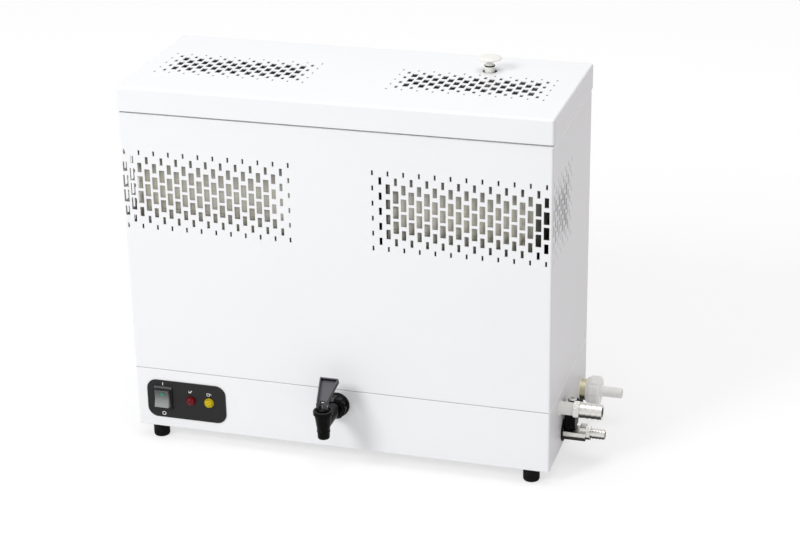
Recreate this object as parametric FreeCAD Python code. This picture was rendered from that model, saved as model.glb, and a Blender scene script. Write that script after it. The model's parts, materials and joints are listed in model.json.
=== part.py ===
import FreeCAD, Part
import math
import os

# Bench water still with a storage tank, in millimetres.
# X runs to the right, Y into the depth and Z up. The origin lies on the bench, under the middle of the case.

os.makedirs("parts", exist_ok=True)

V = FreeCAD.Vector
X = V(1, 0, 0)
Y = V(0, 1, 0)
Z = V(0, 0, 1)

# Case: a base tray on four feet, a casing of bent sheet on it, and a lid over the casing's top.
case_w = 490.0
case_d = 203.0
base_h = 73.4
lid_edge_h = 384.7
case_h = 412.9
sheet = 1.0
bend_r = 2.5
tray_edge_r = 1.4
casing_edge_r = 0.8
tray_flange = 12.0
front_turn = 4.0
rear_return = 14.0
panel_lap = 6.0
lid_over = 1.2
lid_groove = 2.0
ledge_in = 3.0
ledge_r = 1.5
fit_gap = 0.3

foot_h = 17.0
foot_r = 9.4
foot_edge_r = 2.2
foot_inset_x = 22.8
foot_inset_y = 12.5
foot_recess_r = 4.5
foot_recess_h = 3.0

# Vents: rectangular slots on a chequered lattice, smaller towards the rims of the pattern.
vent_pitch = 8.72
vent_cols = 23
vent_rows = 11
vent_side_cols = 11
vent_top_h = 337.2
vent_left_x = 4.5
vent_right_margin = 6.46
slot_widths = (2.1, 3.3, 4.8, 6.3)
slot_heights = (5.9, 8.7, 11.3, 14.5)
lid_vent_cols = 21
lid_vent_rows = 9
lid_vent_left_x = 21.3
lid_vent_right_margin = 24.4
lid_vent_y = 60.4
lid_slot_widths = (1.9, 3.5, 6.4)
lid_slot_depths = (4.2, 7.2, 12.0)

# Stopper that stands on the lid and closes the evaporator's filling port.
stopper_from_right = 104.5
stopper_y = 146.0
stopper_disc_r = 13.6
stopper_disc_h = 3.4
stopper_hole_r = 8.3
stopper_hole_back = 1.3
stopper_body_r = 5.6
stopper_neck_r = 3.8
stopper_disc_at = 13.4
stopper_ring_at = 6.0
stopper_ring_h = 1.4
stopper_tip_r = 4.4
stopper_into_port = 12.0

# Control plate with a rocker switch and two lamps, low at the front on the left.
plate_x = 61.6
plate_h = 36.2
plate_w = 96.6
plate_tall = 46.9
plate_r = 12.0
plate_t = 1.0
switch_x = 33.5
switch_h = 37.8
bezel_w = 21.9
bezel_tall = 29.2
bezel_t = 2.4
bezel_r = 1.2
housing_w = 20.6
housing_tall = 26.4
housing_deep = 21.0
pocket_w = 17.8
pocket_tall = 22.0
pocket_deep = 10.0
key_w = 17.2
key_tall = 20.4
key_out = 5.2
key_dish = 1.6
key_pin_r = 1.3
key_pin_clear = 0.06
key_tilt = 7.0
key_light_r = 1.8
key_light_up = 5.9
lamp_xs = (67.3, 89.9)
lamp_h = 37.7
lamp_r = 5.7
lamp_rim_h = 1.2
lamp_dome_h = 4.6
lamp_body_r = 4.7
lamp_body_deep = 20.0
lamp_nut_af = 13.0
lamp_nut_t = 3.0

# Draw-off tap in the middle of the front.
tap_h = 55.0
tap_out = 51.0
washer_r = 14.5
washer_t = 3.0
grip_r = 13.2
grip_t = 11.0
grip_flutes = 12
flute_r = 1.6
neck_r = 8.0
shank_deep = 18.0
shank_bore_r = 4.0
tail_r = 5.6
tail_len = 14.0
lock_nut_af = 24.0
lock_nut_t = 5.0
spout_low = -17.4
band_low = -9.0
band_high = -6.8
shoulder_high = 11.0
spout_r = 6.9
band_r = 7.5
shoulder_r = 9.6
spout_bore_r = 4.8
seat_h = 0.0
chamber_r = 6.6
bonnet_r = 11.15
bonnet_t = 6.4
bonnet_ring_r = 6.4
bonnet_ring_t = 1.2
bonnet_groove_r = 8.8
bonnet_groove_t = 1.8
stem_r = 2.4
stem_clear = 0.1
plug_seal_r = 5.8
plug_seal_t = 3.0
pivot_pin_r = 1.1
pin_clear = 0.05
cheek_t = 2.9
fork_gap = 5.6
foot_cam_r = 3.6
pivot_up = foot_cam_r + fit_gap
cam_shift = 2.6
lever_len = 34.0
lever_t = 5.8
lever_above_pin = 2.3
lever_w_low = 11.4
lever_w_high = 22.0
lever_rim = 1.5
lever_dish = 3.8
lever_rise = 27.0
lever_foot = 1.0
lever_slot = 3.4
lever_corner_r = 1.2
arm_rear = 4.4

# Water inlet valve, low on the right side; its axis runs along X.
valve_y = 72.0
valve_h = 18.0
grommet_r = 12.4
grommet_t = 2.0
valve_len = 25.6
valve_deep = 20.0
valve_low = 6.6
valve_up = 3.0
valve_step_at = 18.6
valve_block_deep = 13.0
valve_block_up = 9.6
valve_bore_r = 3.6
spigot_r = 5.4
spigot_len = 16.0
coil_w = 12.4
coil_deep = 22.0
coil_tall = 30.0
coil_back = 8.0
coil_front = 14.0
coil_edge_r = 1.5
core_r = 4.3
coil_gap = 1.6
core_nut_r = 5.2
core_nut_t = 3.0
plug_w = 5.0
plug_deep = 16.0
plug_tall = 15.5
barb_hex_af = 15.4
barb_hex_t = 4.6
barb_r = 5.4
barb_ridge = 0.7
barb_len = 16.4
barb_ridges = 4

# Drain nozzle above the valve.
nozzle_y = 55.0
nozzle_h = 54.5
sleeve_r = 7.4
sleeve_spigot_r = 6.2
sleeve_len = 16.0
sleeve_flange_r = 8.8
sleeve_flange_t = 1.0
sleeve_in = 14.0
sleeve_bore_r = 4.0
nozzle_hex_af = 18.6
nozzle_hex_t = 6.6
nozzle_r = 8.4
nozzle_ridge = 0.6
nozzle_len = 25.4
nozzle_ridges = 4
nozzle_bore_r = 5.9

# Cooling water outlet with a union nut, low at the rear of the right side.
union_y = 172.0
union_h = 22.5
stub_r = 12.7
stub_bore_r = 7.0
stub_out = 15.0
stub_in = 10.0
stub_spigot = 9.0
gasket_r = 14.0
gasket_t = 1.0
nut_from = 7.6
nut_len = 16.7
nut_r = 17.6
nut_low_r = 13.9
nut_clear = 0.35
nut_flutes = 8
nut_flute_r = 3.2
tail_collar_r = 11.8
tail_collar_t = 3.0
tail_neck_r = 7.4
hose_tail_r = 5.7
hose_tail_len = 22.5
hose_tail_bore_r = 4.2

# Vessels behind the vents, on a folded carrier that stands in the base tray.
carrier_inset = 36.0
carrier_front = 32.0
carrier_rear = 150.0
carrier_top_h = 179.0
carrier_t = 1.5
carrier_foot = 16.0
vessel_h = 343.0
vessel_front = 12.0
vessel_t = 1.0
bead_h = 267.0
bead_tall = 4.0
bead_out = 0.8
tank_left = 11.0
tank_rear = 112.0
tank_corner_r = 10.0
boiler_w = 171.0
boiler_margin = 24.0
vessel_gap = 18.0
boiler_rear = 155.0
boiler_corner_r = 12.0
cover_t = 2.0
cover_over = 3.0
port_r = 7.6
port_len = 26.0
port_clear = 0.25

# Heater: two loops of tube on a flange at the evaporator's rear wall.
heater_from_right = 130.0
heater_above = 26.0
heater_flange_r = 24.0
heater_flange_t = 4.0
heater_tube_r = 4.0
heater_reach = 100.0
heater_spread = 14.0
terminal_r = 2.5
terminal_len = 14.0

# Condenser: one tube that folds back and forth above the storage tank.
coil_tube_r = 5.0
coil_tube_wall = 1.0
coil_h = 380.0
coil_bend = 12.0
coil_from_right = 155.0
coil_from_y = 108.0
coil_left_x = 60.0
coil_turn_gap = 17.0
coil_pitch_y = 24.0

# Hoses inside the case.
hose_wall = 2.2
hose_bend = 20.0
hose_hole_r = 9.3
tap_hose_y = 60.0
tank_spigot_r = 5.6
tank_spigot_len = 14.0
feed_from_right = 70.0
drain_from_right = 60.0
overflow_from_right = 44.0
overflow_h = 322.0
overflow_bend = 14.0
overflow_leg = 2.0

# Terminal block on the tray's floor and the cable gland in its rear wall.
block_x = 100.0
block_y = 112.0
block_w = 66.0
block_deep = 24.0
block_tall = 18.0
block_ways = 6
block_hole_r = 2.6
gland_x = 60.0
gland_h = 40.0
gland_r = 8.0
gland_bore_r = 4.0
gland_hex_af = 19.0
gland_hex_t = 5.0
gland_cap_len = 11.0
gland_in = 9.0

# Places that follow from the case's width, counted like all others from its front left corner.
tap_x = case_w / 2
vent_right_x = case_w - vent_right_margin - (vent_cols - 1) * vent_pitch
lid_vent_right_x = case_w - lid_vent_right_margin - (lid_vent_cols - 1) * vent_pitch
stopper_x = case_w - stopper_from_right
carrier_left = carrier_inset
carrier_right = case_w - carrier_inset
boiler_right = case_w - boiler_margin
boiler_left = boiler_right - boiler_w
tank_right = boiler_left - vessel_gap
feed_x = case_w - feed_from_right
drain_x = case_w - drain_from_right
overflow_x = case_w - overflow_from_right
heater_x = case_w - heater_from_right
heater_h = carrier_top_h + heater_above
coil_from_x = case_w - coil_from_right
coil_turn_x = tank_right - coil_turn_gap

# Planes of the case that the pieces share.
x_left = -case_w / 2
x_right = case_w / 2
y_front = -case_d / 2
y_back = case_d / 2
z_floor = foot_h
z_seam = z_floor + base_h
z_lid_edge = z_floor + lid_edge_h
z_ledge = z_lid_edge - lid_groove
z_top = z_floor + case_h
z_under_lid = z_top - sheet


def at(x, y, h):
    """Point given from the case's front left corner, with h above the underside of the base tray."""
    return V(x_left + x, y_front + y, z_floor + h)


def box(x0, y0, z0, x1, y1, z1):
    """Box between two opposite corners."""
    return Part.makeBox(x1 - x0, y1 - y0, z1 - z0, V(x0, y0, z0))


def along(edge, axis):
    """True for a straight edge that runs along the axis."""
    if not isinstance(edge.Curve, Part.Line):
        return False
    return abs(abs(edge.Curve.Direction.dot(axis)) - 1.0) < 1e-6


def upright_rounded(shape, radius):
    """The shape with all its upright edges rounded."""
    return shape.makeFillet(radius, [e for e in shape.Edges if along(e, Z)])


def rounded_at(shape, radius, z):
    """The shape with the edges that lie wholly at height z rounded."""
    edges = [e for e in shape.Edges if abs(e.BoundBox.ZMin - z) < 1e-4 and abs(e.BoundBox.ZMax - z) < 1e-4]
    return shape.makeFillet(radius, edges)


def rod(start, axis, radius, length, bore=0.0):
    """Round bar, or a tube when bore is given."""
    solid = Part.makeCylinder(radius, length, start, axis)
    if bore > 0.0:
        solid = solid.cut(Part.makeCylinder(bore, length, start, axis))
    return solid


def across(axis):
    """A direction square to the axis, for profiles that turn about it."""
    return X if abs(axis.dot(X)) < 0.5 else Y


def turned(origin, axis, profile):
    """Solid of revolution: profile is a list of (radius, distance along the axis)."""
    out = across(axis)
    points = [origin + out * r + axis * h for r, h in profile]
    face = Part.Face(Part.makePolygon(points + [points[0]]))
    return face.revolve(origin, axis, 360)


def hex_bar(start, axis, across_flats, length):
    """Six-sided bar for nuts and spanner flats, its corners turned down a little at both ends."""
    corner = across_flats / math.sqrt(3)
    side = across(axis)
    other = axis.cross(side)
    points = []
    for k in range(7):
        angle = math.radians(60 * k + 30)
        points.append(start + side * (corner * math.cos(angle)) + other * (corner * math.sin(angle)))
    prism = Part.Face(Part.makePolygon(points)).extrude(axis * length)
    chamfer = (corner - across_flats / 2) * 0.6
    trim = turned(start, axis, [(0, 0), (corner - chamfer, 0), (corner, chamfer),
                                (corner, length - chamfer), (corner - chamfer, length), (0, length)])
    return prism.common(trim)


def barbed(start, axis, radius, ridge, length, count, bore, lead=0.0):
    """Hose tail: a tube whose ridges slope up from its open end, like saw teeth."""
    step = (length - lead) / count
    profile = [(bore, 0), (radius, 0), (radius, lead)]
    for k in range(count):
        low = lead + k * step
        profile.append((radius, low + step * 0.15))
        profile.append((radius + ridge, low + step * 0.2))
        profile.append((radius, low + step))
    profile.append((bore, length))
    return turned(start, axis, profile)


def disc(centre, axis, radius, bore=0.0):
    """Flat disc or ring, the section of a tube."""
    face = Part.Face(Part.Wire(Part.makeCircle(radius, centre, axis)))
    if bore > 0.0:
        face = face.cut(Part.Face(Part.Wire(Part.makeCircle(bore, centre, axis)))).Faces[0]
    return face


def bent_tube(points, bend, radius, bore=0.0):
    """Straight runs between the points, joined by tangent bends; solid when no bore is given."""
    pieces = []
    start = points[0]
    for k in range(1, len(points) - 1):
        corner = points[k]
        ahead = (corner - points[k - 1]).normalize()
        after = (points[k + 1] - corner).normalize()
        turn = ahead.getAngle(after)
        reach = bend * math.tan(turn / 2)
        first = corner - ahead * reach
        centre = corner + (after - ahead).normalize() * (bend / math.cos(turn / 2))
        if (first - start).Length > 1e-6:
            pieces.append(rod(start, ahead, radius, (first - start).Length, bore))
        section = disc(first, ahead, radius, bore)
        pieces.append(section.revolve(centre, ahead.cross(after), math.degrees(turn)))
        start = corner + after * reach
    last = points[-1] - start
    pieces.append(rod(start, last.normalize(), radius, (points[-1] - start).Length, bore))
    return pieces[0].fuse(pieces[1:])


def graded(ring, sizes):
    """Slot size by its distance in rings from the rim of the pattern."""
    return sizes[min(ring, len(sizes) - 1)]


def front_slots():
    """Cutters for both front vents; each is graded at its top, its foot and towards the case's middle."""
    cutters = []
    for start, side in ((vent_left_x, -1), (vent_right_x, 1)):
        for i in range(vent_cols):
            inward = vent_cols - 1 - i if side < 0 else i
            for j in range(i % 2, vent_rows, 2):
                ring = min(inward, j, vent_rows - 1 - j)
                w = graded(ring, slot_widths) / 2
                h = graded(ring, slot_heights) / 2
                c = at(start + i * vent_pitch, 0, vent_top_h - j * vent_pitch)
                deep = y_front + front_turn - 0.5
                cutters.append(box(c.x - w, y_front - 1, c.z - h, c.x + w, deep, c.z + h))
    return Part.makeCompound(cutters)


def side_slots(side):
    """Cutters that carry the front vent's lattice round the corner into a side wall."""
    wall_x = x_left if side < 0 else x_right
    cutters = []
    for k in range(1, vent_side_cols + 1):
        for j in range((k + 1) % 2, vent_rows, 2):
            ring = min(vent_side_cols - k, j, vent_rows - 1 - j)
            w = graded(ring, slot_widths) / 2
            h = graded(ring, slot_heights) / 2
            c = at(0, k * vent_pitch, vent_top_h - j * vent_pitch)
            cutters.append(box(wall_x - 2 * sheet, c.y - w, c.z - h, wall_x + 2 * sheet, c.y + w, c.z + h))
    return Part.makeCompound(cutters)


def lid_slots():
    """Cutters for the two vents of the lid, graded on all four sides."""
    cutters = []
    for start in (lid_vent_left_x, lid_vent_right_x):
        for i in range(lid_vent_cols):
            for j in range(i % 2, lid_vent_rows, 2):
                ring = min(i, lid_vent_cols - 1 - i, j, lid_vent_rows - 1 - j)
                w = graded(ring, lid_slot_widths) / 2
                d = graded(ring, lid_slot_depths) / 2
                c = at(start + i * vent_pitch, lid_vent_y + j * vent_pitch, 0)
                cutters.append(box(c.x - w, c.y - d, z_top - 2 * sheet, c.x + w, c.y + d, z_top + sheet))
    return Part.makeCompound(cutters)


def tray_holes():
    """Cutters for what passes through the base tray's walls."""
    switch = at(switch_x, 0, switch_h)
    half_w = housing_w / 2 + fit_gap
    half_h = housing_tall / 2 + fit_gap
    holes = [box(switch.x - half_w, y_front - 1, switch.z - half_h,
                 switch.x + half_w, y_front + 2 * sheet, switch.z + half_h)]
    for x in lamp_xs:
        holes.append(rod(at(x, -1, lamp_h), Y, lamp_body_r + fit_gap, 1 + 2 * sheet))
    holes.append(rod(at(tap_x, -1, tap_h), Y, neck_r + fit_gap, 1 + 2 * sheet))
    inside = case_w - 2 * sheet
    holes.append(rod(at(inside, valve_y, valve_h), X, spigot_r + fit_gap, 1 + 2 * sheet))
    holes.append(rod(at(inside, nozzle_y, nozzle_h), X, sleeve_spigot_r + fit_gap, 1 + 2 * sheet))
    holes.append(rod(at(inside, union_y, union_h), X, stub_r + fit_gap, 1 + 2 * sheet))
    holes.append(rod(at(gland_x, case_d - 2 * sheet, gland_h), Y, gland_r + fit_gap, 1 + 2 * sheet))
    return holes


def base_tray():
    """Open tray of sheet with an inward flange round its top edge."""
    outer = upright_rounded(box(x_left, y_front, z_floor, x_right, y_back, z_seam), bend_r)
    outer = rounded_at(outer, tray_edge_r, z_floor)
    outer = rounded_at(outer, tray_edge_r, z_seam)
    inner = upright_rounded(box(x_left + sheet, y_front + sheet, z_floor + sheet,
                                x_right - sheet, y_back - sheet, z_seam - sheet), bend_r - sheet)
    opening = box(x_left + tray_flange, y_front + tray_flange, z_seam - 2 * sheet,
                  x_right - tray_flange, y_back - tray_flange, z_seam + 1)
    return outer.cut([inner, opening] + tray_holes())


def foot(x, y):
    """Round rubber foot with a recess for its screw."""
    e = foot_edge_r
    profile = [(foot_recess_r, 0), (foot_r - e, 0), (foot_r - e * 0.3, e * 0.3), (foot_r, e),
               (foot_r, foot_h), (0, foot_h), (0, foot_recess_h), (foot_recess_r, foot_recess_h)]
    return turned(at(x, y, -foot_h), Z, profile)


def casing():
    """Whole casing of bent sheet: turned in at its foot, and stepped in below the lid to carry it."""
    lower = upright_rounded(box(x_left, y_front, z_seam, x_right, y_back, z_ledge), bend_r)
    lower = rounded_at(rounded_at(lower, casing_edge_r, z_seam), ledge_r, z_ledge)
    x0, x1, y0 = x_left + ledge_in, x_right - ledge_in, y_front + ledge_in
    upper = upright_rounded(box(x0, y0, z_ledge - sheet, x1, y_back, z_under_lid), bend_r)
    upper = rounded_at(upper, bend_r, z_under_lid)
    hollow = upright_rounded(box(x_left + sheet, y_front + sheet, z_seam + sheet,
                                 x_right - sheet, y_back - sheet, z_ledge - sheet), bend_r - sheet)
    throat = upright_rounded(box(x0 + sheet, y0 + sheet, z_ledge - 2 * sheet,
                                 x1 - sheet, y_back - sheet, z_under_lid - sheet), bend_r - sheet)
    throat = rounded_at(throat, bend_r - sheet, z_under_lid - sheet)
    opening = box(x_left + rear_return, y_front + front_turn, z_seam - 1,
                  x_right - rear_return, y_back + 1, z_under_lid + 1)
    return lower.fuse(upper).cut([hollow, throat, opening])


def casing_front():
    """Front of the casing with both bent corners, pierced by the two vents."""
    part = box(x_left, y_front, z_seam, x_right, y_front + front_turn, z_under_lid)
    return casing().common(part).cut(front_slots())


def casing_side(side):
    """Side wall with the end of the vent, its flanges, and the return that carries the back panel."""
    xs = sorted((side * case_w / 2, side * (case_w / 2 - rear_return)))
    part = box(xs[0], y_front + front_turn, z_seam, xs[1], y_back, z_under_lid)
    relief = box(xs[0], y_back - 2 * sheet, z_seam - 1, xs[1], y_back - sheet, z_seam + sheet)
    return casing().common(part).cut([side_slots(side), relief])


def back_panel():
    """Flat rear panel behind the returns of the side walls."""
    inset = rear_return - panel_lap
    inside = y_back - sheet
    top = z_under_lid - sheet - bend_r
    return box(x_left + inset, inside - sheet, z_seam, x_right - inset, inside, top)


def lid_body():
    """Lid as one bent sheet: a flat top, bent edges and a skirt that overlaps the casing."""
    x0, x1 = x_left - lid_over, x_right + lid_over
    y0, y1 = y_front - lid_over, y_back + lid_over
    outer = upright_rounded(box(x0, y0, z_lid_edge, x1, y1, z_top), bend_r + lid_over)
    outer = rounded_at(outer, bend_r, z_top)
    inner = box(x0 + sheet, y0 + sheet, z_lid_edge - 1, x1 - sheet, y1 - sheet, z_under_lid)
    inner = rounded_at(upright_rounded(inner, bend_r + lid_over - sheet), bend_r - sheet, z_under_lid)
    return outer.cut(inner)


def lid_top():
    """Top of the lid down to the end of its bent edges, with its vents and the stopper's hole."""
    low = z_top - bend_r
    top = lid_body().common(box(x_left - 5, y_front - 5, low, x_right + 5, y_back + 5, z_top + 1))
    hole = rod(at(stopper_x, stopper_y + stopper_hole_back, case_h - 2 * sheet), Z, stopper_hole_r, 3 * sheet)
    return top.cut(lid_slots()).cut(hole)


def lid_skirt():
    """Upright skirt of the lid."""
    low = z_top - bend_r
    return lid_body().common(box(x_left - 5, y_front - 5, z_lid_edge, x_right + 5, y_back + 5, low))


def stopper():
    """Disc handle, neck, body and shank turned as one piece; its shoulder rests on the filling port."""
    top = at(stopper_x, stopper_y, case_h + fit_gap)
    shoulder = z_floor + vessel_h + cover_t + port_len + fit_gap - top.z
    tip = shoulder - stopper_into_port
    disc_top = stopper_disc_at + stopper_disc_h
    ring_top = stopper_ring_at + stopper_ring_h
    profile = [
        (0, disc_top), (stopper_disc_r - 4, disc_top), (stopper_disc_r - 0.8, disc_top - 0.7),
        (stopper_disc_r, disc_top - 1.6), (stopper_disc_r - 0.6, disc_top - 2.6),
        (stopper_neck_r + 1.6, stopper_disc_at), (stopper_neck_r, stopper_disc_at - 1.8),
        (stopper_neck_r, ring_top + 0.8), (stopper_body_r - 0.4, ring_top), (stopper_body_r - 1.0, ring_top),
        (stopper_body_r - 1.0, stopper_ring_at), (stopper_body_r, stopper_ring_at),
        (stopper_body_r, shoulder), (stopper_tip_r, shoulder),
        (stopper_tip_r, tip + 2), (stopper_tip_r - 1.6, tip), (0, tip),
    ]
    return turned(top, Z, profile)


def stopper_ring():
    """Dark ring in the stopper's groove."""
    start = at(stopper_x, stopper_y, case_h + fit_gap + stopper_ring_at)
    r = stopper_body_r
    h = stopper_ring_h
    return turned(start, Z, [(r - 0.98, 0), (r + 0.2, 0), (r + 0.5, h / 2), (r + 0.2, h), (r - 0.98, h)])


def control_plate():
    """Plate with round corners on the front of the tray, cut out for the switch and the lamps."""
    c = at(plate_x, -plate_t, plate_h)
    w, h = plate_w / 2, plate_tall / 2
    solid = box(c.x - w, c.y, c.z - h, c.x + w, y_front, c.z + h)
    solid = solid.makeFillet(plate_r, [e for e in solid.Edges if along(e, Y)])
    s = at(switch_x, 0, switch_h)
    half_w = housing_w / 2 + fit_gap
    half_h = housing_tall / 2 + fit_gap
    holes = [box(s.x - half_w, c.y - 1, s.z - half_h, s.x + half_w, y_front + 1, s.z + half_h)]
    holes += [rod(at(x, -plate_t - 1, lamp_h), Y, lamp_body_r + fit_gap, plate_t + 2) for x in lamp_xs]
    return solid.cut(holes)


def key_pivot():
    """Place of the rocker key's pivot on the switch's middle plane."""
    return at(switch_x, -plate_t - bezel_t + 4.0, switch_h)


def switch_frame():
    """Bezel and housing of the switch in one moulding, with the pin that carries the key."""
    c = at(switch_x, -plate_t, switch_h)
    front = c.y - bezel_t
    bezel = box(c.x - bezel_w / 2, front, c.z - bezel_tall / 2, c.x + bezel_w / 2, c.y, c.z + bezel_tall / 2)
    edges = [e for e in bezel.Edges if along(e, Y) or abs(e.BoundBox.YMax - front) < 1e-4]
    bezel = bezel.makeFillet(bezel_r, edges)
    housing = box(c.x - housing_w / 2, c.y, c.z - housing_tall / 2,
                  c.x + housing_w / 2, c.y + housing_deep, c.z + housing_tall / 2)
    pocket = box(c.x - pocket_w / 2, front - 1, c.z - pocket_tall / 2,
                 c.x + pocket_w / 2, front + pocket_deep, c.z + pocket_tall / 2)
    pin = rod(key_pivot() - X * (housing_w / 2), X, key_pin_r, housing_w)
    y = c.y + housing_deep
    tabs = [box(c.x - 0.4, y, c.z + s - 3.2, c.x + 0.4, y + 8, c.z + s + 3.2)
            for s in (-7.0, 7.0)]
    return bezel.fuse(housing).cut(pocket).fuse([pin] + tabs)


def key_outline():
    """Rocker's outline in the middle plane before it is tilted: a shallow dish outside, a wedge inside."""
    p = key_pivot()
    half = key_tall / 2
    face = -key_out - 4.0
    points = [(face, -half), (face + key_dish, 0), (face, half), (-1.0, half),
              (3.4, 3.0), (3.4, -3.0), (-1.0, -half)]
    return [V(p.x - key_w / 2, p.y + a, p.z + b) for a, b in points]


def key_light_place():
    """Foot of the light's hole, square to the dished face in its upper half."""
    p = key_pivot()
    face = -key_out - 4.0 + key_dish * (1 - key_light_up / (key_tall / 2))
    return V(p.x, p.y + face, p.z + key_light_up)


def tilted(shape):
    """Key's pose at rest: its upper half pressed in."""
    return shape.rotated(key_pivot(), X, -key_tilt)


def switch_key():
    """Rocker key, bored for the housing's pin and for its light."""
    points = key_outline()
    solid = Part.Face(Part.makePolygon(points + [points[0]])).extrude(X * key_w)
    solid = solid.makeFillet(0.7, [e for e in solid.Edges if e.BoundBox.YMax < key_pivot().y - 5.0])
    bore = rod(key_pivot() - X * key_w, X, key_pin_r + key_pin_clear, 2 * key_w)
    light = rod(key_light_place() - Y * 3, Y, key_light_r, 4.5)
    return tilted(solid.cut([bore, light]))


def switch_light():
    """Small light let into the key."""
    place = key_light_place()
    r = key_light_r
    profile = [(0, 0), (r, 0), (r, 1.4), (r * 0.6, 2.0), (0, 2.1)]
    return tilted(turned(place + Y * 1.5, V(0, -1, 0), profile))


def lamp_lens(x):
    """Domed lens with a rim that lies on the plate."""
    c = at(x, -plate_t, lamp_h)
    dome = []
    for k in range(7):
        angle = math.radians(15 * k)
        dome.append((lamp_r * 0.94 * math.cos(angle), lamp_rim_h + lamp_dome_h * math.sin(angle)))
    return turned(c, V(0, -1, 0), [(0, 0), (lamp_r, 0), (lamp_r, lamp_rim_h)] + dome)


def lamp_body(x):
    """Barrel of the lamp behind the plate, with its nut and two terminals."""
    c = at(x, -plate_t, lamp_h)
    nut_at = plate_t + sheet
    body = rod(c, Y, lamp_body_r, lamp_body_deep)
    nut = hex_bar(c + Y * nut_at, Y, lamp_nut_af, lamp_nut_t)
    y = c.y + lamp_body_deep
    tabs = [box(c.x + s - 0.4, y, c.z - 1.4, c.x + s + 0.4, y + 6, c.z + 1.4)
            for s in (-2.0, 2.0)]
    return body.fuse([nut] + tabs)


def tap_axis(h=0.0):
    """Point on the tap body's upright axis, h above the middle of its neck."""
    return at(tap_x, -tap_out, tap_h + h)


def tap_washer():
    """Flat ring between the tap and the tray."""
    return rod(at(tap_x, -washer_t, tap_h), Y, washer_r, washer_t, neck_r + 0.1)


def tap_grip():
    """Fluted hand nut that presses the washer against the tray."""
    front = washer_t + grip_t
    profile = [(neck_r + 0.1, 0), (grip_r, 0), (grip_r, grip_t - 2.4), (grip_r - 1.6, grip_t - 1.2),
               (grip_r - 3.4, grip_t), (neck_r + 0.1, grip_t)]
    nut = turned(at(tap_x, -washer_t, tap_h), V(0, -1, 0), profile)
    flutes = []
    for k in range(grip_flutes):
        angle = 2 * math.pi * (k + 0.5) / grip_flutes
        r = grip_r + flute_r * 0.45
        start = at(tap_x + r * math.cos(angle), -front - 1, tap_h + r * math.sin(angle))
        flutes.append(rod(start, Y, flute_r, grip_t - 1.6))
    return nut.cut(flutes)


def tap_body():
    """Tapered spout on a round neck, bored through, with its shank behind the tray's wall."""
    spout = turned(tap_axis(), Z, [
        (0, spout_low), (spout_r - 1.6, spout_low), (spout_r - 0.4, spout_low + 0.7), (spout_r, spout_low + 1.9),
        (spout_r + 0.1, band_low - 0.6), (band_r, band_low), (band_r, band_high),
        (band_r - 0.3, band_high + 0.5), (shoulder_r, shoulder_high), (0, shoulder_high)])
    neck = rod(at(tap_x, -tap_out, tap_h), Y, neck_r, tap_out + shank_deep)
    tail = barbed(at(tap_x, shank_deep, tap_h), Y, tail_r, 0.6, tail_len, 3, shank_bore_r)
    solid = spout.fuse([neck, tail])
    spout_bore = rod(tap_axis(spout_low - 1), Z, spout_bore_r, seat_h - spout_low + 1)
    chamber = rod(tap_axis(seat_h), Z, chamber_r, shoulder_high - seat_h + 1)
    inlet = at(tap_x, -tap_out + 1, tap_h + seat_h + shank_bore_r)
    side_bore = rod(inlet, Y, shank_bore_r * 0.75, chamber_r + 6)
    shank_bore = rod(at(tap_x, -tap_out + chamber_r + 4, tap_h), Y, shank_bore_r, tap_out + shank_deep)
    return solid.cut([spout_bore, chamber, side_bore, shank_bore])


def tap_bonnet():
    """Cap that closes the tap body at the top and guides the stem."""
    low = shoulder_high
    r = bonnet_r
    hole = stem_r + stem_clear
    t = bonnet_t
    groove = t - bonnet_groove_t
    ring = t + bonnet_ring_t
    profile = [(hole, -1.5), (chamber_r - 0.1, -1.5), (chamber_r - 0.1, 0), (shoulder_r - 0.2, 0),
               (r, 1.6), (r, t - 1.2), (r - 0.4, t - 0.4), (r - 1.2, t), (bonnet_groove_r, t),
               (bonnet_groove_r - 0.3, groove), (bonnet_ring_r + 0.5, groove),
               (bonnet_ring_r, ring), (hole, ring)]
    return turned(tap_axis(low), Z, profile)


def pivot_place():
    """Middle of the lever's pin at rest, above the bonnet's ring."""
    return tap_axis(shoulder_high + bonnet_t + bonnet_ring_t + pivot_up)


def tap_stem():
    """Round stem through the bonnet, with the hole for the lever's pin and a head that holds the seal."""
    low = seat_h + plug_seal_t
    top = shoulder_high + bonnet_t + bonnet_ring_t + pivot_up + 2.4
    stem = rod(tap_axis(low), Z, stem_r, top - low)
    head = rod(tap_axis(low), Z, plug_seal_r - 1.4, 1.6)
    nose = rod(tap_axis(seat_h + 1.0), Z, 1.5, plug_seal_t - 1.0)
    hole = rod(pivot_place() - X * 5, X, pivot_pin_r + pin_clear, 10)
    return stem.fuse([head, nose]).cut(hole)


def tap_seal():
    """Rubber disc at the stem's foot that lies on the seat in the tap body."""
    start = tap_axis(seat_h)
    r = plug_seal_r
    return turned(start, Z, [(1.5, 1.0), (0, 1.0), (0, -0.6), (spout_bore_r - 1.0, -0.6), (spout_bore_r - 0.4, 0.05),
                             (r, 0.05), (r, plug_seal_t), (1.5, plug_seal_t)])


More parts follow.
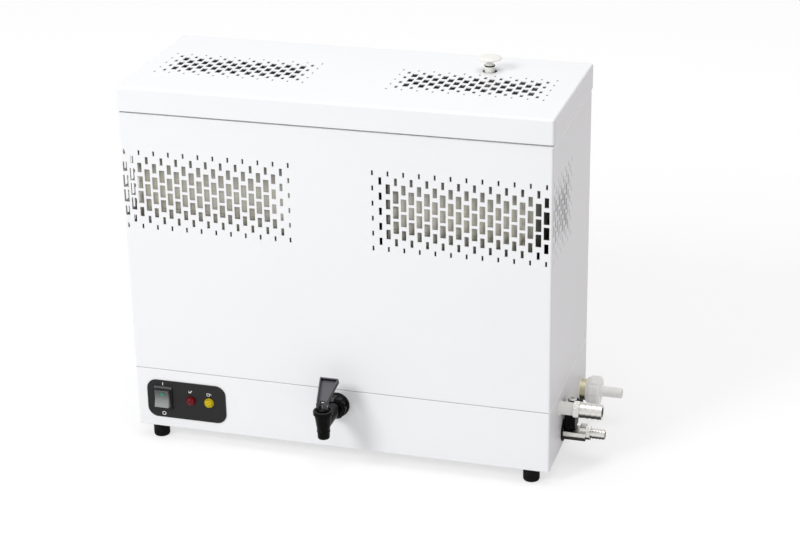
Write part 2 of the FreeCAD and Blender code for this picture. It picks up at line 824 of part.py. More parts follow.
def tap_lever():
    """Flared lever, dished on top, on two cheeks that straddle the stem; its cam feet stand on the bonnet."""
    p = pivot_place()
    half = cheek_t + fork_gap / 2
    cam = p - Y * cam_shift
    feet = []
    for start in (p.x - half, p.x + fork_gap / 2):
        feet.append(rod(V(start, cam.y, cam.z), X, foot_cam_r, cheek_t))
        front, high = cam.y - foot_cam_r, cam.z + 2 * cam_shift
        feet.append(box(start, front, cam.z, start + cheek_t, p.y + arm_rear, high))
    rise = math.radians(lever_rise)
    up = V(0, math.cos(rise), math.sin(rise))
    face = V(0, -math.sin(rise), math.cos(rise))

    def outline(near, far, half_near, half_far, height):
        """Four corners of a tapered plate in the lever's own plane, at a height above the pin."""
        foot = p + up * near + face * height
        tip = p + up * far + face * height
        points = [foot - X * half_near, foot + X * half_near, tip + X * half_far, tip - X * half_far]
        return Part.Face(Part.makePolygon(points + [points[0]]))

    low, high = lever_w_low / 2, lever_w_high / 2
    far = lever_len - lever_foot
    blade = outline(-lever_foot, far, low, high, lever_above_pin).extrude(face * lever_t)
    blade = blade.makeFillet(lever_corner_r, [e for e in blade.Edges if along(e, face)])
    floor = lever_above_pin + lever_t - lever_dish
    hollow = outline(-lever_foot - 1, far - lever_rim, low - lever_rim, high - lever_rim, floor)
    hollow = hollow.extrude(face * (lever_dish + 1))
    gap = fork_gap / 2
    slot = outline(-4 * foot_cam_r, lever_slot, gap, gap, -3 * foot_cam_r).extrude(face * (6 * foot_cam_r))
    stem_room = rod(p - Z * foot_cam_r * 2, Z, stem_r + fit_gap, 2 * foot_cam_r + stem_r + fit_gap)
    bore = rod(p - X * 2 * half, X, pivot_pin_r + pin_clear, 4 * half)
    return blade.fuse(feet).cut([slot, hollow, bore, stem_room])


def lever_pin():
    """Steel pin through the cheeks and the stem."""
    length = fork_gap + 2 * cheek_t
    return rod(pivot_place() - X * (length / 2), X, pivot_pin_r, length)


def tap_lock_nut():
    """Hexagon nut on the shank, behind the tray's wall."""
    start = at(tap_x, sheet, tap_h)
    return hex_bar(start, Y, lock_nut_af, lock_nut_t).cut(rod(start, Y, neck_r + 0.1, lock_nut_t))


def out(e, y, h):
    """Point e outside the case's right side."""
    return at(case_w + e, y, h)


def valve_grommet():
    """Rubber ring round the valve's spigot on the outside of the tray."""
    r, t = grommet_r, grommet_t
    hole = spigot_r + 0.1
    profile = [(hole, 0), (r, 0), (r, t - 1.0), (r - 0.3, t - 0.3), (r - 1.0, t), (hole, t)]
    return turned(out(0, valve_y, valve_h), X, profile)


def valve_body():
    """Milled valve body: a flat block with a raised part at its outer end and the spigot into the case."""
    c = out(grommet_t, valve_y, valve_h)
    low = c.z - valve_low
    end = c.x + valve_len
    side = valve_deep / 2
    plate = box(c.x, c.y - side, low, end, c.y + side, c.z + valve_up)
    plate = plate.makeFillet(1.0, [e for e in plate.Edges if along(e, X)])
    rear = valve_block_deep / 2
    block = box(c.x + valve_step_at, c.y - rear, c.z, end, c.y + rear, c.z + valve_block_up)
    top_edges = [e for e in block.Edges if along(e, X) and e.BoundBox.ZMin > c.z + 1]
    block = block.makeFillet(rear * 0.6, top_edges)
    spigot = barbed(out(grommet_t, valve_y, valve_h), V(-1, 0, 0), spigot_r, 0.0, spigot_len, 1, 2.8)
    pad = rod(coil_place() - Z, Z, core_r + 1.2, coil_gap + 1)
    bore = rod(c + X * (valve_len - 8), X, valve_bore_r, 9)
    return plate.fuse([block, pad, spigot]).cut(bore)


def coil_place():
    """Middle of the coil's seat on top of the valve body."""
    return out(grommet_t + 0.4 + coil_w / 2, valve_y + coil_back, valve_h + valve_up)


def valve_coil():
    """Moulded coil round the core, with a bevelled shoulder towards the case."""
    c = coil_place()
    y0 = c.y - coil_front
    low = c.z + coil_gap
    profile = [(-coil_w / 2, low), (coil_w / 2, low), (coil_w / 2, low + coil_tall),
               (-coil_w / 2 + 4.0, low + coil_tall), (-coil_w / 2, low + coil_tall - 6.5)]
    points = [V(c.x + a, y0, z) for a, z in profile]
    solid = Part.Face(Part.makePolygon(points + [points[0]])).extrude(Y * coil_deep)
    solid = upright_rounded(solid, coil_edge_r)
    return solid.cut(rod(V(c.x, c.y, low - 1), Z, core_r + 0.1, coil_tall + 2))


def valve_core():
    """Core tube that carries the coil, with a round nut on top."""
    c = coil_place()
    low = c.z + coil_gap
    top = V(c.x, c.y, low + coil_tall)
    core = rod(V(c.x, c.y, low), Z, core_r, coil_tall)
    r, t = core_nut_r, core_nut_t
    nut = turned(top, Z, [(0, 0), (r, 0), (r, t - 0.8), (r - 0.8, t), (2.2, t), (2.2, t - 1.0), (0, t - 1.0)])
    return core.fuse(nut)


def valve_plug():
    """Connector block on the outer face of the coil."""
    c = coil_place()
    x0 = c.x + coil_w / 2
    top = c.z + coil_gap + coil_tall - 1.0
    solid = box(x0, c.y - plug_deep / 2, top - plug_tall, x0 + plug_w, c.y + plug_deep / 2, top)
    return solid.makeFillet(1.2, [e for e in solid.Edges if abs(e.BoundBox.XMax - x0 - plug_w) < 1e-4])


def valve_barb():
    """Inlet fitting of the valve: spanner flats and a ridged hose tail."""
    start = out(grommet_t + valve_len, valve_y, valve_h)
    nut = hex_bar(start, X, barb_hex_af, barb_hex_t).cut(rod(start, X, valve_bore_r, barb_hex_t))
    tail = barbed(start + X * barb_hex_t, X, barb_r, barb_ridge, barb_len, barb_ridges, valve_bore_r, 2.0)
    return nut.fuse(tail)


def nozzle_sleeve():
    """Pale bush that carries the drain nozzle through the tray's wall."""
    start = out(0, nozzle_y, nozzle_h)
    r, t = sleeve_flange_r, sleeve_flange_t
    bore = sleeve_bore_r
    outside = turned(start, X, [(bore, 0), (r, 0), (r, t - 0.4), (r - 0.4, t), (sleeve_r, t),
                                (sleeve_r, sleeve_len), (bore, sleeve_len)])
    return outside.fuse(rod(start - X * sleeve_in, X, sleeve_spigot_r, sleeve_in, bore))


def nozzle():
    """Large plated hose nozzle with spanner flats."""
    start = out(sleeve_len, nozzle_y, nozzle_h)
    nut = hex_bar(start, X, nozzle_hex_af, nozzle_hex_t).cut(rod(start, X, nozzle_bore_r, nozzle_hex_t))
    root = start + X * nozzle_hex_t
    tail = barbed(root, X, nozzle_r, nozzle_ridge, nozzle_len, nozzle_ridges, nozzle_bore_r)
    return nut.fuse(tail)


def union_gasket():
    """Flat ring between the union's stub and the tray."""
    return rod(out(0, union_y, union_h), X, gasket_r, gasket_t, stub_r + 0.1)


def union_stub():
    """Brass stub that passes through the tray's wall."""
    start = out(-stub_in, union_y, union_h)
    end = stub_in + stub_out
    r = stub_r
    bore = tank_spigot_r - 1.4
    profile = [(bore, -stub_spigot), (tank_spigot_r, -stub_spigot), (tank_spigot_r, 0), (r - 0.6, 0), (r, 0.6),
               (r, end - 0.8), (r - 0.8, end), (stub_bore_r, end), (stub_bore_r, 3), (bore, 3)]
    return turned(start, X, profile)


def union_nut():
    """Union nut: a bevelled, fluted cap with an inner shoulder behind the hose tail's collar."""
    start = out(nut_from, union_y, union_h)
    shoulder = stub_out - nut_from + tail_collar_t + 2 * fit_gap
    hole = tail_neck_r + nut_clear
    inner = stub_r + nut_clear
    nut = turned(start, X, [(inner, 0), (nut_low_r, 0), (nut_r - 0.6, 4.6), (nut_r, 5.4), (nut_r, nut_len - 2.2),
                            (nut_r - 2.0, nut_len), (hole, nut_len), (hole, shoulder), (inner, shoulder)])
    flutes = []
    for k in range(nut_flutes):
        angle = 2 * math.pi * k / nut_flutes
        r = nut_r + nut_flute_r * 0.72
        middle = start + Y * (r * math.cos(angle)) + Z * (r * math.sin(angle))
        flutes.append(rod(middle, X, nut_flute_r, nut_len))
    return nut.cut(flutes)


def union_tail():
    """Plastic hose tail whose collar the union nut holds against the stub."""
    start = out(stub_out + fit_gap / 2, union_y, union_h)
    c = tail_collar_t
    b = hose_tail_bore_r
    neck_end = nut_from + nut_len - stub_out + 2.4
    collar = turned(start, X, [(b, 0), (tail_collar_r, 0), (tail_collar_r, c), (tail_neck_r, c),
                               (tail_neck_r, neck_end - 1.2), (hose_tail_r, neck_end), (b, neck_end)])
    return collar.fuse(barbed(start + X * neck_end, X, hose_tail_r, 0.6, hose_tail_len, 5, b))


def carrier():
    """Folded carrier: a top plate on two legs whose feet lie on the tray's floor."""
    x0, x1 = x_left + carrier_left, x_left + carrier_right
    y0, y1 = y_front + carrier_front, y_front + carrier_rear
    low = z_floor + sheet
    top = z_floor + carrier_top_h
    t = carrier_t
    outer = box(x0, y0, low, x1, y1, top)
    outer = outer.makeFillet(3.0, [e for e in outer.Edges if along(e, Y) and e.BoundBox.ZMin > top - 1])
    inner = box(x0 + t, y0 - 1, low - 1, x1 - t, y1 + 1, top - t)
    bends = [e for e in inner.Edges if along(e, Y) and e.BoundBox.ZMin > top - t - 1]
    inner = inner.makeFillet(3.0 - t, bends)
    feet = [box(x0 + t, y0, low, x0 + carrier_foot, y1, low + t),
            box(x1 - carrier_foot, y0, low, x1 - t, y1, low + t)]
    solid = outer.cut(inner).fuse(feet)
    holes = []
    for x, y in ((tap_x, tap_hose_y), (feed_x, valve_y), (drain_x, nozzle_y)):
        start = at(x, y, carrier_top_h - 2 * t)
        holes.append(rod(start, Z, hose_hole_r, 3 * t))
    for y, h in ((valve_y, valve_h), (nozzle_y, nozzle_h)):
        start = at(carrier_right - 2 * t, y, h)
        holes.append(rod(start, X, hose_hole_r, 3 * t))
    return solid.cut(holes)


def vessel(left, right, rear, corner):
    """Welded vessel, open at the top, with a raised bead round its wall."""
    low = at(left, vessel_front, carrier_top_h)
    high = at(right, rear, vessel_h)
    t = vessel_t
    outer = upright_rounded(box(low.x, low.y, low.z, high.x, high.y, high.z), corner)
    o = bead_out
    z = z_floor + bead_h
    bead = box(low.x - o, low.y - o, z - bead_tall / 2, high.x + o, high.y + o, z + bead_tall / 2)
    bead = upright_rounded(bead, corner + o)
    inner = box(low.x + t, low.y + t, low.z + t, high.x - t, high.y - t, high.z + 1)
    inner = upright_rounded(inner, corner - t)
    return outer.fuse(bead).cut(inner)


def spigot_down(x, y, r, bore):
    """Short pipe under a vessel's floor."""
    return rod(at(x, y, carrier_top_h - tank_spigot_len), Z, r, tank_spigot_len + vessel_t, bore)


def storage_tank():
    """Storage tank with its outlet spigot towards the tap."""
    tub = vessel(tank_left, tank_right, tank_rear, tank_corner_r)
    bore = tank_spigot_r - 1.4
    hole = rod(at(tap_x, tap_hose_y, carrier_top_h - 1), Z, bore, vessel_t + 2)
    return tub.fuse(spigot_down(tap_x, tap_hose_y, tank_spigot_r, bore)).cut(hole)


def evaporator():
    """Evaporator vessel with its feed, drain and overflow spigots and the heater's hole."""
    tub = vessel(boiler_left, boiler_right, boiler_rear, boiler_corner_r)
    bore = tank_spigot_r - 1.4
    rear = at(overflow_x, boiler_rear - vessel_t, overflow_h)
    pipes = [spigot_down(feed_x, valve_y, tank_spigot_r, bore),
             spigot_down(drain_x, nozzle_y, tank_spigot_r, bore),
             rod(rear, Y, tank_spigot_r, vessel_t + overflow_leg, bore)]
    holes = [rod(at(feed_x, valve_y, carrier_top_h - 1), Z, bore, vessel_t + 2),
             rod(at(drain_x, nozzle_y, carrier_top_h - 1), Z, bore, vessel_t + 2),
             rod(rear - Y, Y, bore, vessel_t + 2),
             rod(at(heater_x, boiler_rear - 2 * vessel_t, heater_h), Y, heater_flange_r - 5, 3 * vessel_t)]
    return tub.fuse(pipes).cut(holes)


def vessel_cover(left, right, rear, corner):
    """Flat cover that overhangs its vessel."""
    o = cover_over
    low = at(left - o, vessel_front - o, vessel_h)
    high = at(right + o, rear + o, vessel_h + cover_t)
    return upright_rounded(box(low.x, low.y, low.z, high.x, high.y, high.z), corner + o)


def tank_cover():
    """Cover of the storage tank, bored for the condenser's end."""
    plate = vessel_cover(tank_left, tank_right, tank_rear, tank_corner_r)
    end = condenser_points()[-1]
    return plate.cut(rod(V(end.x, end.y, z_floor + vessel_h - 1), Z, coil_tube_r + 0.1, cover_t + 2))


def evaporator_cover():
    """Cover of the evaporator with the steam outlet's hole and the filling port that the stopper closes."""
    plate = vessel_cover(boiler_left, boiler_right, boiler_rear, boiler_corner_r)
    port = rod(at(stopper_x, stopper_y, vessel_h + cover_t), Z, port_r, port_len)
    bore = rod(at(stopper_x, stopper_y, vessel_h - 1), Z, stopper_tip_r + port_clear, cover_t + port_len + 2)
    steam = rod(at(coil_from_x, coil_from_y, vessel_h - 1), Z, coil_tube_r + 0.1, cover_t + 2)
    return plate.fuse(port).cut([bore, steam])


def heater():
    """Heater: two loops of tube side by side on a round flange, with their terminals outside."""
    flange = rod(at(heater_x, boiler_rear, heater_h), Y, heater_flange_r, heater_flange_t)
    pieces = []
    for s in (-1, 1):
        x = heater_x + s * heater_spread / 2
        reach = boiler_rear - heater_reach
        low, high = heater_h - 9, heater_h + 9
        points = [at(x, boiler_rear, low), at(x, reach, low), at(x, reach, high), at(x, boiler_rear, high)]
        pieces.append(bent_tube(points, 8.99, heater_tube_r))
        for h in (low, high):
            pieces.append(rod(at(x, boiler_rear + heater_flange_t, h), Y, terminal_r, terminal_len))
    return flange.fuse(pieces)


def condenser_points():
    """Corners of the condenser's path: up from the evaporator, to and fro, and down into the tank."""
    y = coil_from_y
    low = vessel_h
    points = [at(coil_from_x, y, low), at(coil_from_x, y, coil_h), at(coil_left_x, y, coil_h)]
    points.append(at(coil_left_x, y - coil_pitch_y, coil_h))
    points.append(at(coil_turn_x, y - coil_pitch_y, coil_h))
    points.append(at(coil_turn_x, y - 2 * coil_pitch_y, coil_h))
    points.append(at(coil_left_x, y - 2 * coil_pitch_y, coil_h))
    points.append(at(coil_left_x, y - 2 * coil_pitch_y, low))
    return points


def condenser():
    """Condenser tube."""
    return bent_tube(condenser_points(), coil_bend - 0.01, coil_tube_r, coil_tube_r - coil_tube_wall)


def tap_hose():
    """Hose from the storage tank's outlet to the tap's shank."""
    start = at(tap_x, tap_hose_y, carrier_top_h - 1)
    points = [start, at(tap_x, tap_hose_y, tap_h), at(tap_x, shank_deep + 0.5, tap_h)]
    return bent_tube(points, hose_bend, tank_spigot_r + hose_wall, tank_spigot_r + 0.7)


def feed_hose():
    """Hose from the valve's spigot to the evaporator's feed."""
    start = at(feed_x, valve_y, carrier_top_h - 1)
    points = [start, at(feed_x, valve_y, valve_h), at(case_w - sheet - 1, valve_y, valve_h)]
    return bent_tube(points, hose_bend, tank_spigot_r + hose_wall, tank_spigot_r + 0.1)


def drain_hose():
    """Hose from the evaporator's drain to the nozzle's bush."""
    start = at(drain_x, nozzle_y, carrier_top_h - 1)
    points = [start, at(drain_x, nozzle_y, nozzle_h), at(case_w - sheet - 1, nozzle_y, nozzle_h)]
    return bent_tube(points, hose_bend, sleeve_spigot_r + hose_wall, sleeve_spigot_r + 0.1)


def overflow_hose():
    """Hose from the evaporator's overflow down to the union's stub."""
    y = union_y
    points = [at(overflow_x, boiler_rear + 0.5, overflow_h), at(overflow_x, y, overflow_h),
              at(overflow_x, y, union_h), at(case_w - stub_in, y, union_h)]
    return bent_tube(points, overflow_bend, tank_spigot_r + hose_wall, tank_spigot_r + 0.1)


def terminal_block():
    """Row of cable terminals on the tray's floor, stepped, with its screw wells."""
    c = at(block_x, block_y, sheet)
    x0, x1 = c.x - block_w / 2, c.x + block_w / 2
    low = box(x0, c.y - block_deep / 2, c.z, x1, c.y + block_deep / 2, c.z + block_tall * 0.6)
    top = box(x0, c.y - block_deep / 4, c.z, x1, c.y + block_deep / 4, c.z + block_tall)
    step = block_w / block_ways
    wells = []
    for k in range(block_ways):
        x = c.x - block_w / 2 + (k + 0.5) * step
        for s in (-1, 1):
            place = V(x, c.y + s * block_deep * 0.37, c.z + block_tall * 0.3)
            wells.append(rod(place, Z, block_hole_r, block_tall))
    return low.fuse(top).cut(wells)


def cable_gland():
    """Strain relief in the tray's rear wall, its cable bore free."""
    wall = at(gland_x, case_d, gland_h)
    inside = rod(wall - Y * (sheet + gland_in), Y, gland_r, sheet + gland_in)
    lock = hex_bar(wall - Y * (sheet + gland_hex_t), Y, gland_hex_af, gland_hex_t)
    flats = hex_bar(wall, Y, gland_hex_af, gland_hex_t)
    r = gland_hex_af / 2
    cap = turned(wall + Y * gland_hex_t, Y, [(0, 0), (r - 0.4, 0), (r - 0.4, gland_cap_len * 0.6),
                                            (gland_bore_r + 2, gland_cap_len), (0, gland_cap_len)])
    bore = rod(wall - Y * 40, Y, gland_bore_r, 80)
    return inside.fuse([lock, flats, cap]).cut(bore)


pieces = {
    "base_tray": base_tray(),
    "foot_front_left": foot(foot_inset_x, foot_inset_y),
    "foot_front_right": foot(case_w - foot_inset_x, foot_inset_y),
    "foot_rear_left": foot(foot_inset_x, case_d - foot_inset_y),
    "foot_rear_right": foot(case_w - foot_inset_x, case_d - foot_inset_y),
    "casing_front": casing_front(),
    "casing_left": casing_side(-1),
    "casing_right": casing_side(1),
    "back_panel": back_panel(),
    "lid_top": lid_top(),
    "lid_skirt": lid_skirt(),
    "stopper": stopper(),
    "stopper_ring": stopper_ring(),
    "control_plate": control_plate(),
    "switch_frame": switch_frame(),
    "switch_key": switch_key(),
    "switch_light": switch_light(),
    "lamp_red_lens": lamp_lens(lamp_xs[0]),
    "lamp_amber_lens": lamp_lens(lamp_xs[1]),
    "lamp_red_body": lamp_body(lamp_xs[0]),
    "lamp_amber_body": lamp_body(lamp_xs[1]),
    "tap_washer": tap_washer(),
    "tap_grip": tap_grip(),
    "tap_body": tap_body(),
    "tap_bonnet": tap_bonnet(),
    "tap_stem": tap_stem(),
    "tap_seal": tap_seal(),
    "tap_lever": tap_lever(),
    "lever_pin": lever_pin(),
    "tap_lock_nut": tap_lock_nut(),
    "valve_grommet": valve_grommet(),
    "valve_body": valve_body(),
    "valve_coil": valve_coil(),
    "valve_core": valve_core(),
    "valve_plug": valve_plug(),
    "valve_barb": valve_barb(),
    "nozzle_sleeve": nozzle_sleeve(),
    "nozzle": nozzle(),
    "union_gasket": union_gasket(),
    "union_stub": union_stub(),
    "union_nut": union_nut(),
    "union_tail": union_tail(),
    "carrier": carrier(),
    "storage_tank": storage_tank(),
    "tank_cover": tank_cover(),
    "evaporator": evaporator(),
    "evaporator_cover": evaporator_cover(),
    "heater": heater(),
    "condenser": condenser(),
    "tap_hose": tap_hose(),
    "feed_hose": feed_hose(),
    "drain_hose": drain_hose(),
    "overflow_hose": overflow_hose(),
    "terminal_block": terminal_block(),
    "cable_gland": cable_gland(),
}

for name, shape in pieces.items():
    if len(shape.Solids) == 1:
        shape = shape.Solids[0]
    shape.exportStep(f"parts/{name}.step")
    print(f"{name:18s} solids {len(shape.Solids)} valid {shape.isValid()} volume {shape.Volume / 1000:.2f} cm3")
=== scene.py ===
"""Looks of a white bench water still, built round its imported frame.

Metres, with +X to the right, +Y into the depth and +Z up.
"""

import json
import math

import bpy
import numpy as np
from mathutils import Matrix, Vector


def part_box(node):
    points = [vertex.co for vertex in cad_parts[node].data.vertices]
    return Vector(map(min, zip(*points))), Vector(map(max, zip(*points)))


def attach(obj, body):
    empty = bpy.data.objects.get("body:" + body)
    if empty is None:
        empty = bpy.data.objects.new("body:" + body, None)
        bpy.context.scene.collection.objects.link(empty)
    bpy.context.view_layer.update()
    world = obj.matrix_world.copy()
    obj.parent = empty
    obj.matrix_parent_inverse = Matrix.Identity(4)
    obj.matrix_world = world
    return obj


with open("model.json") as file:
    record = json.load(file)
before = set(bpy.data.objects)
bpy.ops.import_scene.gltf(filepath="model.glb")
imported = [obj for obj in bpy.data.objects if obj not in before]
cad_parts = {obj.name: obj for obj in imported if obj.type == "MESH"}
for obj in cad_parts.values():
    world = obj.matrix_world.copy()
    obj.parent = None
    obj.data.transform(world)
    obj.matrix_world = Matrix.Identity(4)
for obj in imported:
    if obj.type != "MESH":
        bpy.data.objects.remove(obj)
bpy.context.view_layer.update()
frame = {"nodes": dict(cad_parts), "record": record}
MM = 0.001


# Places read from the frame


def low(node):
    """Lower corner of a node's box."""
    return np.array(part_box(node)[0])


def high(node):
    """Upper corner of a node's box."""
    return np.array(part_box(node)[1])


def middle(node):
    """Centre of a node's box."""
    return (low(node) + high(node)) / 2


CASE_LEFT, CASE_FRONT, TRAY_LOW = low("base_tray")
CASE_RIGHT, _, SEAM = high("base_tray")
CASE_W = CASE_RIGHT - CASE_LEFT
LID_EDGE = low("lid_skirt")[2]
FOOT_RECESS = 3.0 * MM
# Heights at which the light through the vents begins, is full, begins to go and is gone
VENT_LIGHT = [TRAY_LOW + h * MM for h in (238, 256, 296, 346)]


# Shader maths


class Field:
    """A shader socket that takes part in arithmetic: every operation adds one Math node."""

    def __init__(self, tree, socket):
        self.tree = tree
        self.socket = socket

    def math(self, operation, *others, flip=False):
        node = self.tree.nodes.new("ShaderNodeMath")
        node.operation = operation
        terms = (self,) + others
        if flip:
            terms = others + (self,)
        for place, term in zip(node.inputs, terms):
            if isinstance(term, Field):
                self.tree.links.new(term.socket, place)
            else:
                place.default_value = term
        return Field(self.tree, node.outputs[0])

    def __add__(self, other):
        return self.math("ADD", other)

    def __sub__(self, other):
        return self.math("SUBTRACT", other)

    def __mul__(self, other):
        return self.math("MULTIPLY", other)

    def __rsub__(self, other):
        return self.math("SUBTRACT", other, flip=True)

    __radd__ = __add__
    __rmul__ = __mul__

    def ramp(self, start, end):
        """Soft step: 0 up to start, 1 from end on."""
        node = self.tree.nodes.new("ShaderNodeMapRange")
        node.interpolation_type = "SMOOTHSTEP"
        self.tree.links.new(self.socket, node.inputs["Value"])
        node.inputs["From Min"].default_value = start
        node.inputs["From Max"].default_value = end
        return Field(self.tree, node.outputs[0])


class Finish:
    """One material: a Principled shader with plain values, and fields that vary over the surface."""

    def __init__(self, name, colour, roughness, **plain):
        self.material = bpy.data.materials.new(name)
        self.material.use_nodes = True
        self.tree = self.material.node_tree
        self.shader = next(n for n in self.tree.nodes if n.type == "BSDF_PRINCIPLED")
        self.colour = (*colour, 1.0)
        self.shader.inputs["Base Color"].default_value = self.colour
        self.shader.inputs["Roughness"].default_value = roughness
        for socket, value in plain.items():
            self.shader.inputs[socket.replace("_", " ")].default_value = value
        self.spot = self.node("ShaderNodeTexCoord").outputs["Object"]

    def node(self, kind, settings=None, **inputs):
        """Any node by its type, its settings first, then the values or links of its sockets."""
        node = self.tree.nodes.new(kind)
        for key, value in (settings or {}).items():
            setattr(node, key, value)
        for key, value in inputs.items():
            socket = node.inputs[key.replace("_", " ")]
            if isinstance(value, Field):
                self.tree.links.new(value.socket, socket)
            elif isinstance(value, bpy.types.NodeSocket):
                self.tree.links.new(value, socket)
            else:
                socket.default_value = value
        return node

    def scaled(self, scale, turn=(0, 0, 0)):
        """Object coordinates stretched by three factors."""
        return self.node("ShaderNodeMapping", Vector=self.spot, Scale=scale, Rotation=turn).outputs[0]

    def noise(self, scale, detail=2.0, stretch=None):
        """Cloudy field between 0 and 1; scale counts its waves per metre."""
        vector = self.scaled(stretch) if stretch else self.spot
        node = self.node("ShaderNodeTexNoise", Vector=vector, Scale=scale, Detail=detail, Roughness=0.55)
        return Field(self.tree, node.outputs[0])

    def axis(self, index):
        """One coordinate of the surface point, in metres."""
        return Field(self.tree, self.node("ShaderNodeSeparateXYZ", Vector=self.spot).outputs[index])

    def facing(self, index):
        """How far the surface faces along one axis, from -1 to 1."""
        normal = self.node("ShaderNodeNewGeometry").outputs["Normal"]
        return Field(self.tree, self.node("ShaderNodeSeparateXYZ", Vector=normal).outputs[index])

    def feed(self, name, field):
        """Links a field or socket to one input of the shader."""
        self.tree.links.new(field.socket if isinstance(field, Field) else field, self.shader.inputs[name])

    def shade(self, mask, colour, under=None):
        """Base colour that goes over to another colour where the mask is 1; returns it for further layers."""
        mix = self.node("ShaderNodeMix", {"data_type": "RGBA"}, Factor=mask)
        self.tree.links.new(mask.socket, mix.inputs[0])
        if under is None:
            mix.inputs[6].default_value = self.colour
        else:
            self.tree.links.new(under, mix.inputs[6])
        mix.inputs[7].default_value = (*colour, 1.0)
        self.feed("Base Color", mix.outputs[2])
        return mix.outputs[2]

    def relief(self, height, depth, strength=1.0):
        """Bump from a field between 0 and 1, with its depth in metres."""
        bump = self.node("ShaderNodeBump", Height=height, Distance=depth, Strength=strength)
        self.feed("Normal", bump.outputs[0])


# Finishes


def powder_coat():
    """White powder coat: fine orange peel and the faintest clouding.

    The seam over the tray has painted shade on the front. The sides have painted shade, a little darker than
    the front, and painted highlights along their edges at the lid and at the seam.
    """
    f = Finish("white_coat", (0.85, 0.855, 0.868), 0.42, IOR=1.45)
    peel = f.noise(620.0, 3.0)
    cloud = f.noise(9.0, 2.0)
    under = f.shade(cloud.ramp(0.35, 0.75) * 0.5, (0.838, 0.843, 0.858))
    rise = f.axis(2)
    # painted shade in the seam over the tray, on the front only
    seam_shade = 1.0 - (rise - SEAM).math("ABSOLUTE").ramp(0.1 * MM, 1.0 * MM)
    outside = (f.axis(1) - CASE_FRONT).math("ABSOLUTE").ramp(2.5 * MM, 1.5 * MM)
    under = f.shade(seam_shade * outside * 0.8, (0.42, 0.42, 0.44), under)
    # painted shade: the sides a little darker than the front
    side_shade = f.facing(0).ramp(0.5, 0.9)
    under = f.shade(side_shade, (0.80, 0.782, 0.80), under)
    # painted highlights on the sides: a white band at the casing's edge under the lid and one just over the
    # tray seam
    ledge_highlight = 1.0 - (rise - (LID_EDGE - 3.0 * MM)).math("ABSOLUTE").ramp(1.0 * MM, 1.6 * MM)
    foot = 1.0 - (rise - (SEAM + 0.5 * MM)).math("ABSOLUTE").ramp(0.8 * MM, 1.4 * MM)
    f.shade((ledge_highlight + foot) * f.facing(0).ramp(0.2, 0.4), (1.0, 1.0, 1.0), under)
    f.feed("Roughness", peel * 0.08 + 0.36)
    f.relief(peel, 0.00003, 0.6)
    return f.material


def rubber(name, colour, roughness):
    """Moulded rubber: matt, with a bloom that lifts the black in patches."""
    f = Finish(name, colour, roughness, Specular_IOR_Level=0.08)
    grain = f.noise(1500.0, 3.0)
    bloom = f.noise(160.0, 2.0)
    f.shade(bloom.ramp(0.4, 0.8), tuple(c * 1.7 + 0.004 for c in colour))
    f.feed("Roughness", grain * 0.12 + (roughness - 0.06))
    f.relief(grain, 0.00006, 0.7)
    return f.material


def moulded(name, colour, roughness, grain_size=1.0, depth=0.00003, up_light_factor=1.0, **plain):
    """Injection-moulded plastic: fine spark grain and a slight change of gloss.

    Where it faces up its colour is multiplied by the up-facing factor: above 1 that is a painted sheen, below
    1 painted shade.
    """
    f = Finish(name, colour, roughness, **plain)
    grain = f.noise(1800.0 / grain_size, 2.0)
    haze = f.noise(120.0, 2.0)
    hazed = f.shade(haze.ramp(0.35, 0.8) * 0.6, tuple(min(c * 1.12, 0.97) for c in colour))
    if up_light_factor != 1.0:
        # painted light on up-facing surfaces: a sheen above 1, shade below 1
        f.shade(f.facing(2).ramp(-0.15, 0.3), tuple(c * up_light_factor for c in colour), hazed)
    f.feed("Roughness", haze * 0.1 + grain * 0.06 + (roughness - 0.08))
    f.relief(grain, depth, 0.6)
    return f.material


def plated(name, colour, roughness, along):
    """Plated or turned metal: fine tool lines across the named axis and slight clouding.

    It has painted shade, a dark reflection, where it faces down and below a height just over the foot of the
    valve's body.
    """
    f = Finish(name, colour, roughness, Metallic=1.0)
    stretch = [60.0, 60.0, 60.0]
    stretch[along] = 2600.0
    lines = f.noise(1.0, 3.0, stretch)
    cloud = f.noise(220.0, 3.0)
    clouded = f.shade(cloud.ramp(0.45, 0.8) * 0.5, tuple(c * 0.8 for c in colour))
    # painted shade: dark where it faces down and below this height on the valve
    shadow = low("valve_body")[2] + 4.5 * MM
    bright = f.facing(2).ramp(-0.35, 0.1) * f.axis(2).ramp(shadow - 0.6 * MM, shadow + 0.6 * MM)
    f.shade(1.0 - bright, tuple(c * 0.05 for c in colour), clouded)
    f.feed("Roughness", lines * 0.14 + cloud * 0.1 + (roughness - 0.12))
    f.relief(lines, 0.00003, 0.5)
    return f.material


def brushed(name, colour, roughness, along, lit):
    """Brushed stainless sheet: hair lines along the named axis, with heat tint in broad patches.

    It has painted light between the two middle heights of lit and where it faces up, and painted shade
    towards the two outer heights.
    """
    f = Finish(name, colour, roughness, Metallic=1.0)
    stretch = [900.0, 900.0, 900.0]
    stretch[along] = 14.0
    hair = f.noise(1.0, 4.0, stretch)
    tint = f.noise(14.0, 3.0)
    tinted = f.shade(tint.ramp(0.4, 0.75) * 0.6, tuple(c * k for c, k in zip(colour, (0.88, 0.85, 0.76))))
    lined = f.shade(hair.ramp(0.3, 0.75) * 0.35, tuple(c * 0.72 for c in colour), tinted)
    # painted light through the vents, with painted shade above and below it
    rise = f.axis(2)
    bright = rise.ramp(lit[0], lit[1]) * (1.0 - rise.ramp(lit[2], lit[3]))
    bright = bright.math("MAXIMUM", f.facing(2).ramp(0.5, 0.9) * 0.8)
    f.shade(1.0 - bright, tuple(c * 0.02 for c in colour), lined)
    f.feed("Roughness", hair * 0.22 + (roughness - 0.1))
    f.relief(hair, 0.00004, 0.5)
    return f.material


